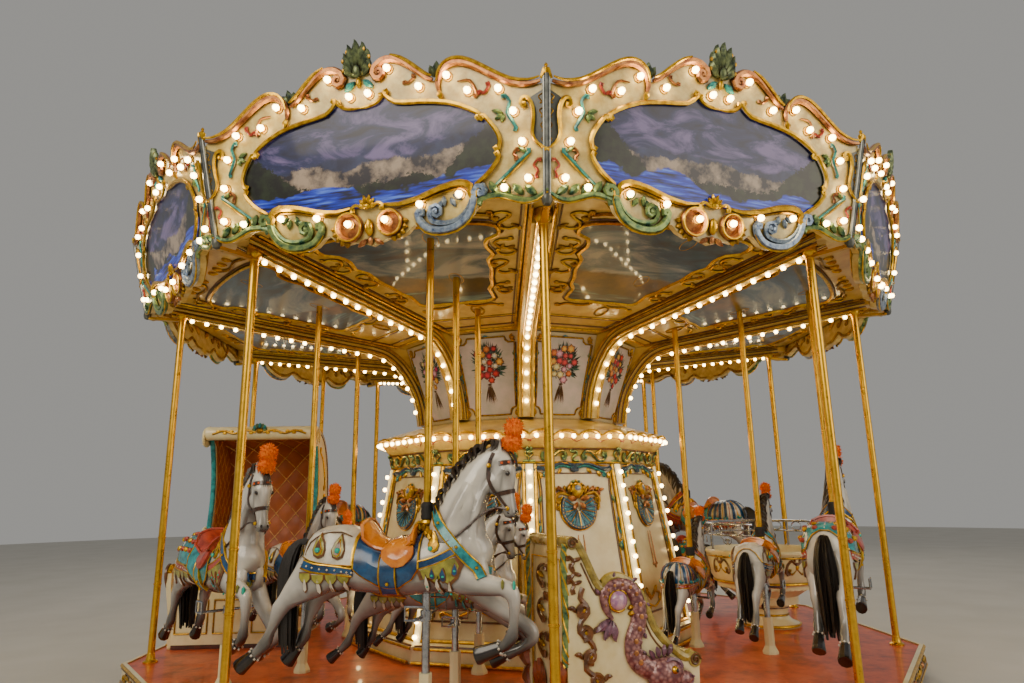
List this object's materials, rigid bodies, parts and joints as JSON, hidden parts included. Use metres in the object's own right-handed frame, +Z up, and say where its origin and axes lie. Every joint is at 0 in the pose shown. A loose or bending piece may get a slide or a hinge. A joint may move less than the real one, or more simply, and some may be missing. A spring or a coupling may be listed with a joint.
{
  "type": "fairground carousel",
  "caption": "Fairground carousel with a turning polygonal floor, centre drum, lit sweeps and crested rounding boards, rising horses, a chariot, a hooded carriage and a tub.",
  "frame": {"origin": "on the turning axis at ground level, under the base frame", "axes": "+Z up along the turning axis; -Y points at a corner of the ten-sided floor, with a rim pole; +X to the right of it seen from outside"},
  "size_m": [7.729, 7.976, 4.66],
  "materials": {
    "base_steel": "grey enamel",
    "floor_paint": "worn orange-red paint",
    "edge_paint": "cream enamel",
    "cream_panel": "glossy cream gelcoat",
    "board_panel": "glossy ivory gelcoat",
    "painted_scene": "varnished painting",
    "ceiling_scene": "varnished painting",
    "flower_panel": "varnished painting",
    "brass_pole": "lacquered",
    "gold_leaf": "gilded",
    "copper_trim": "red gold lustre",
    "scroll_teal": "lustre paint",
    "scroll_green": "lustre paint",
    "scroll_rose": "lustre paint",
    "dark_strip": "dark grey enamel",
    "bulb_glass": "opal glass",
    "bulb_socket": "lacquered",
    "light_strip": "milky plastic",
    "roof_panel": "satin cream paint",
    "horse_body": "glossy painted fibreglass",
    "horse_mane": "glossy paint",
    "horse_hair": "long hair",
    "horse_hoof": "glossy paint",
    "saddle_paint": "glossy paint",
    "trapping_blue": "glossy paint",
    "trapping_teal": "glossy paint",
    "trapping_red": "glossy paint",
    "trapping_green": "glossy paint",
    "trapping_white": "glossy paint",
    "bridle_paint": "glossy paint",
    "plume_fur": "fluffy",
    "grip_rubber": "matt",
    "step_chrome": "polished",
    "quilted_vinyl": "quilted",
    "serpent_paint": "lustre paint"
  },
  "bodies": {
    "base": {"base_frame": "base_steel", "mast": "base_steel"},
    "rotor": {"floor_segment_0": "floor_paint", "floor_segment_1": "floor_paint", "floor_segment_2": "floor_paint", "floor_segment_3": "floor_paint", "floor_segment_4": "floor_paint", "floor_edge": "edge_paint", "lower_drum": "cream_panel", "drum_cornice": "cream_panel", "upper_drum": "cream_panel", "sweep_frame": "cream_panel", "ceiling": "cream_panel", "rounding_board_0": "board_panel", "rounding_board_1": "board_panel", "rounding_board_2": "board_panel", "rounding_board_3": "board_panel", "rounding_board_4": "board_panel", "rounding_board_5": "board_panel", "rounding_board_6": "board_panel", "rounding_board_7": "board_panel", "rounding_board_8": "board_panel", "rounding_board_9": "board_panel", "rim_pole_0": "brass_pole", "rim_pole_1": "brass_pole", "rim_pole_2": "brass_pole", "rim_pole_3": "brass_pole", "rim_pole_4": "brass_pole", "rim_pole_5": "brass_pole", "rim_pole_6": "brass_pole", "rim_pole_7": "brass_pole", "rim_pole_8": "brass_pole", "rim_pole_9": "brass_pole", "roof": "roof_panel", "chariot": "cream_panel", "hooded_carriage": "cream_panel", "round_tub": "cream_panel", "tub_rail": "step_chrome"},
    "horse_outer_1": {"horse_outer_1": "horse_body"},
    "horse_outer_3": {"horse_outer_3": "horse_body"},
    "horse_outer_4": {"horse_outer_4": "horse_body"},
    "horse_outer_5": {"horse_outer_5": "horse_body"},
    "horse_outer_6": {"horse_outer_6": "horse_body"},
    "horse_outer_8": {"horse_outer_8": "horse_body"},
    "horse_outer_9": {"horse_outer_9": "horse_body"},
    "horse_middle_1": {"horse_middle_1": "horse_body"},
    "horse_middle_3": {"horse_middle_3": "horse_body"},
    "horse_middle_4": {"horse_middle_4": "horse_body"},
    "horse_middle_5": {"horse_middle_5": "horse_body"},
    "horse_middle_6": {"horse_middle_6": "horse_body"},
    "horse_middle_8": {"horse_middle_8": "horse_body"},
    "horse_middle_9": {"horse_middle_9": "horse_body"},
    "horse_inner_1": {"horse_inner_1": "horse_body"},
    "horse_inner_3": {"horse_inner_3": "horse_body"},
    "horse_inner_5": {"horse_inner_5": "horse_body"},
    "horse_inner_7": {"horse_inner_7": "horse_body"},
    "horse_inner_9": {"horse_inner_9": "horse_body"}
  },
  "joints": [
    {"name": "rotation", "type": "hinge", "parent": "base", "child": "rotor", "pos_m": [0, 0, 3.6], "axis": [0, 0, 1], "continuous": true},
    {"name": "rise_outer_1", "type": "slide", "parent": "rotor", "child": "horse_outer_1", "axis": [0, 0, 1], "range_m": [-0.09, 0.21]},
    {"name": "rise_outer_3", "type": "slide", "parent": "rotor", "child": "horse_outer_3", "axis": [0, 0, 1], "range_m": [-0.23, 0.07]},
    {"name": "rise_outer_4", "type": "slide", "parent": "rotor", "child": "horse_outer_4", "axis": [0, 0, 1], "range_m": [-0.05, 0.25]},
    {"name": "rise_outer_5", "type": "slide", "parent": "rotor", "child": "horse_outer_5", "axis": [0, 0, 1], "range_m": [-0.19, 0.11]},
    {"name": "rise_outer_6", "type": "slide", "parent": "rotor", "child": "horse_outer_6", "axis": [0, 0, 1], "range_m": [-0.26, 0.04]},
    {"name": "rise_outer_8", "type": "slide", "parent": "rotor", "child": "horse_outer_8", "axis": [0, 0, 1], "range_m": [-0.06, 0.24]},
    {"name": "rise_outer_9", "type": "slide", "parent": "rotor", "child": "horse_outer_9", "axis": [0, 0, 1], "range_m": [-0.15, 0.15]},
    {"name": "rise_middle_1", "type": "slide", "parent": "rotor", "child": "horse_middle_1", "axis": [0, 0, 1], "range_m": [-0.21, 0.09]},
    {"name": "rise_middle_3", "type": "slide", "parent": "rotor", "child": "horse_middle_3", "axis": [0, 0, 1], "range_m": [-0.07, 0.23]},
    {"name": "rise_middle_4", "type": "slide", "parent": "rotor", "child": "horse_middle_4", "axis": [0, 0, 1], "range_m": [-0.25, 0.05]},
    {"name": "rise_middle_5", "type": "slide", "parent": "rotor", "child": "horse_middle_5", "axis": [0, 0, 1], "range_m": [-0.11, 0.19]},
    {"name": "rise_middle_6", "type": "slide", "parent": "rotor", "child": "horse_middle_6", "axis": [0, 0, 1], "range_m": [-0.04, 0.26]},
    {"name": "rise_middle_8", "type": "slide", "parent": "rotor", "child": "horse_middle_8", "axis": [0, 0, 1], "range_m": [-0.24, 0.06]},
    {"name": "rise_middle_9", "type": "slide", "parent": "rotor", "child": "horse_middle_9", "axis": [0, 0, 1], "range_m": [-0.15, 0.15]},
    {"name": "rise_inner_1", "type": "slide", "parent": "rotor", "child": "horse_inner_1", "axis": [0, 0, 1], "range_m": [-0.09, 0.21]},
    {"name": "rise_inner_3", "type": "slide", "parent": "rotor", "child": "horse_inner_3", "axis": [0, 0, 1], "range_m": [-0.23, 0.07]},
    {"name": "rise_inner_5", "type": "slide", "parent": "rotor", "child": "horse_inner_5", "axis": [0, 0, 1], "range_m": [-0.19, 0.11]},
    {"name": "rise_inner_7", "type": "slide", "parent": "rotor", "child": "horse_inner_7", "axis": [0, 0, 1], "range_m": [-0.1, 0.2]},
    {"name": "rise_inner_9", "type": "slide", "parent": "rotor", "child": "horse_inner_9", "axis": [0, 0, 1], "range_m": [-0.15, 0.15]}
  ],
  "couplings": [
    {"joint": "rise_middle_1", "follows": "rise_outer_1", "ratio": -1},
    {"joint": "rise_middle_3", "follows": "rise_outer_3", "ratio": -1},
    {"joint": "rise_middle_4", "follows": "rise_outer_4", "ratio": -1},
    {"joint": "rise_middle_5", "follows": "rise_outer_5", "ratio": -1},
    {"joint": "rise_middle_6", "follows": "rise_outer_6", "ratio": -1},
    {"joint": "rise_middle_8", "follows": "rise_outer_8", "ratio": -1},
    {"joint": "rise_middle_9", "follows": "rise_outer_9", "ratio": -1},
    {"joint": "rise_inner_1", "follows": "rise_outer_1", "ratio": 1},
    {"joint": "rise_inner_3", "follows": "rise_outer_3", "ratio": 1},
    {"joint": "rise_inner_5", "follows": "rise_outer_5", "ratio": 1},
    {"joint": "rise_inner_9", "follows": "rise_outer_9", "ratio": 1}
  ]
}
